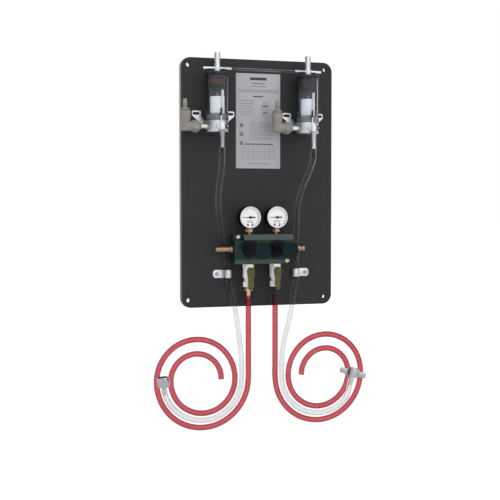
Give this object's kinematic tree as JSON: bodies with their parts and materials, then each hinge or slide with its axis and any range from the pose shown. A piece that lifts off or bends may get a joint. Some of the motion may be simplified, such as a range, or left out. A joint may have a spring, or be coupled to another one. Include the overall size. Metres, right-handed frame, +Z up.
{
  "type": "gas regulator and float detector panel",
  "caption": "Wall panel for drink lines: gas regulator block with gauges, knobs and shut-off valves, clear float chambers, and coiled red and clear hoses below.",
  "frame": {"origin": "centre of the board's back face, the middle of its four bolt holes", "axes": "+X to the right, +Z up, and +Y into the wall, so that the front faces -Y"},
  "size_m": [0.5526, 0.1495, 0.9172],
  "materials": {
    "board": "dark grey sheet, fine satin grain",
    "sheet": "pale grey print, satin",
    "steel": "satin",
    "spring_steel": "satin",
    "base_metal": "turned, satin",
    "bracket": "bright plated",
    "chrome": "plated",
    "brass": "reddish, satin",
    "clear": "clear tube",
    "lens": "clear",
    "clear_hose": "clear soft tube",
    "white_plastic": "white",
    "black_plastic": "black, satin",
    "knob": "black green, satin",
    "block_green": "deep green, satin",
    "gauge": "black case round a white dial",
    "needle": "black",
    "olive": "olive sleeve",
    "lever_red": "red tip on a white rod",
    "beige": "beige grey",
    "red_hose": "red, slightly see-through",
    "red_rubber": "red",
    "black_rubber": "black"
  },
  "bodies": {
    "board": {"panel": "board", "instruction_sheet": "sheet", "panel_screws": "steel", "cap_seals": "red_rubber", "side_plugs": "black_plastic", "float_guides": "white_plastic", "detector_bracket_left": "bracket", "detector_base_left": "base_metal", "detector_chamber_left": "clear", "detector_cap_left": "black_plastic", "outlet_cross_left": "steel", "drain_valve_left": "steel", "inlet_nut_left": "beige", "inlet_elbow_left": "beige", "detector_bracket_right": "bracket", "detector_base_right": "base_metal", "detector_chamber_right": "clear", "detector_cap_right": "black_plastic", "outlet_cross_right": "steel", "drain_valve_right": "steel", "inlet_nut_right": "beige", "inlet_elbow_right": "beige", "regulator_block": "block_green", "gas_inlet_barb": "brass", "manifold_plug": "brass", "diaphragms": "black_rubber", "bonnet_left": "black_plastic", "bonnet_right": "black_plastic", "spring_left": "spring_steel", "spring_right": "spring_steel", "gauge_case_left": "gauge", "gauge_case_right": "gauge", "gauge_lens_left": "lens", "gauge_lens_right": "lens", "gauge_stem_left": "brass", "gauge_stem_right": "brass", "shutoff_body_left": "chrome", "shutoff_body_right": "chrome", "shutoff_barb_left": "brass", "shutoff_barb_right": "brass", "gas_hose_left": "red_hose", "gas_hose_right": "red_hose", "drain_hose_left": "clear_hose", "drain_hose_right": "clear_hose", "link_hose": "clear_hose", "hose_clips": "steel", "hose_tails": "steel"},
    "knob_left": {"pressure_knob_left": "knob"},
    "knob_right": {"pressure_knob_right": "knob"},
    "needle_left": {"gauge_needle_left": "needle"},
    "needle_right": {"gauge_needle_right": "needle"},
    "valve_left": {"shutoff_ball_left": "chrome", "shutoff_lever_left": "olive"},
    "valve_right": {"shutoff_ball_right": "chrome", "shutoff_lever_right": "olive"},
    "bleed_left": {"drain_lever_left": "lever_red"},
    "bleed_right": {"drain_lever_right": "lever_red"},
    "float_body_left": {"float_left": "white_plastic"},
    "float_body_right": {"float_right": "white_plastic"},
    "nut_left": {"wing_nut_left": "chrome"},
    "nut_right": {"wing_nut_right": "chrome"}
  },
  "joints": [
    {"name": "knob_turn_left", "type": "hinge", "parent": "board", "child": "knob_left", "pos_m": [-0.0352, -0.103, -0.1617], "axis": [0, -1, 0], "range_deg": [-1080, 1080]},
    {"name": "knob_turn_right", "type": "hinge", "parent": "board", "child": "knob_right", "pos_m": [0.0352, -0.103, -0.1617], "axis": [0, -1, 0], "range_deg": [-1080, 1080]},
    {"name": "needle_sweep_left", "type": "hinge", "parent": "board", "child": "needle_left", "pos_m": [-0.0352, -0.0574, -0.0838], "axis": [0, 1, 0], "range_deg": [-60, 240]},
    {"name": "needle_sweep_right", "type": "hinge", "parent": "board", "child": "needle_right", "pos_m": [0.0352, -0.0574, -0.0838], "axis": [0, 1, 0], "range_deg": [-60, 240]},
    {"name": "valve_turn_left", "type": "hinge", "parent": "board", "child": "valve_left", "pos_m": [-0.0352, -0.043, -0.216], "axis": [0, 1, 0], "range_deg": [0, 90]},
    {"name": "valve_turn_right", "type": "hinge", "parent": "board", "child": "valve_right", "pos_m": [0.0352, -0.043, -0.216], "axis": [0, -1, 0], "range_deg": [0, 90]},
    {"name": "bleed_turn_left", "type": "hinge", "parent": "board", "child": "bleed_left", "pos_m": [-0.118, -0.08245, 0.136], "axis": [0, 1, 0], "range_deg": [0, 90]},
    {"name": "bleed_turn_right", "type": "hinge", "parent": "board", "child": "bleed_right", "pos_m": [0.118, -0.08245, 0.136], "axis": [0, 1, 0], "range_deg": [0, 90]},
    {"name": "float_lift_left", "type": "slide", "parent": "board", "child": "float_body_left", "axis": [0, 0, 1], "range_m": [0, 0.022]},
    {"name": "float_lift_right", "type": "slide", "parent": "board", "child": "float_body_right", "axis": [0, 0, 1], "range_m": [0, 0.022]},
    {"name": "nut_swivel_left", "type": "hinge", "parent": "board", "child": "nut_left", "pos_m": [-0.25801, -0.064, -0.47607], "axis": [-0.1045, 0, 0.9945], "range_deg": [-12, 12]},
    {"name": "nut_swivel_right", "type": "hinge", "parent": "board", "child": "nut_right", "pos_m": [0.23699, -0.067, -0.47696], "axis": [0.2588, 0, 0.9659], "range_deg": [-15, 15]}
  ]
}
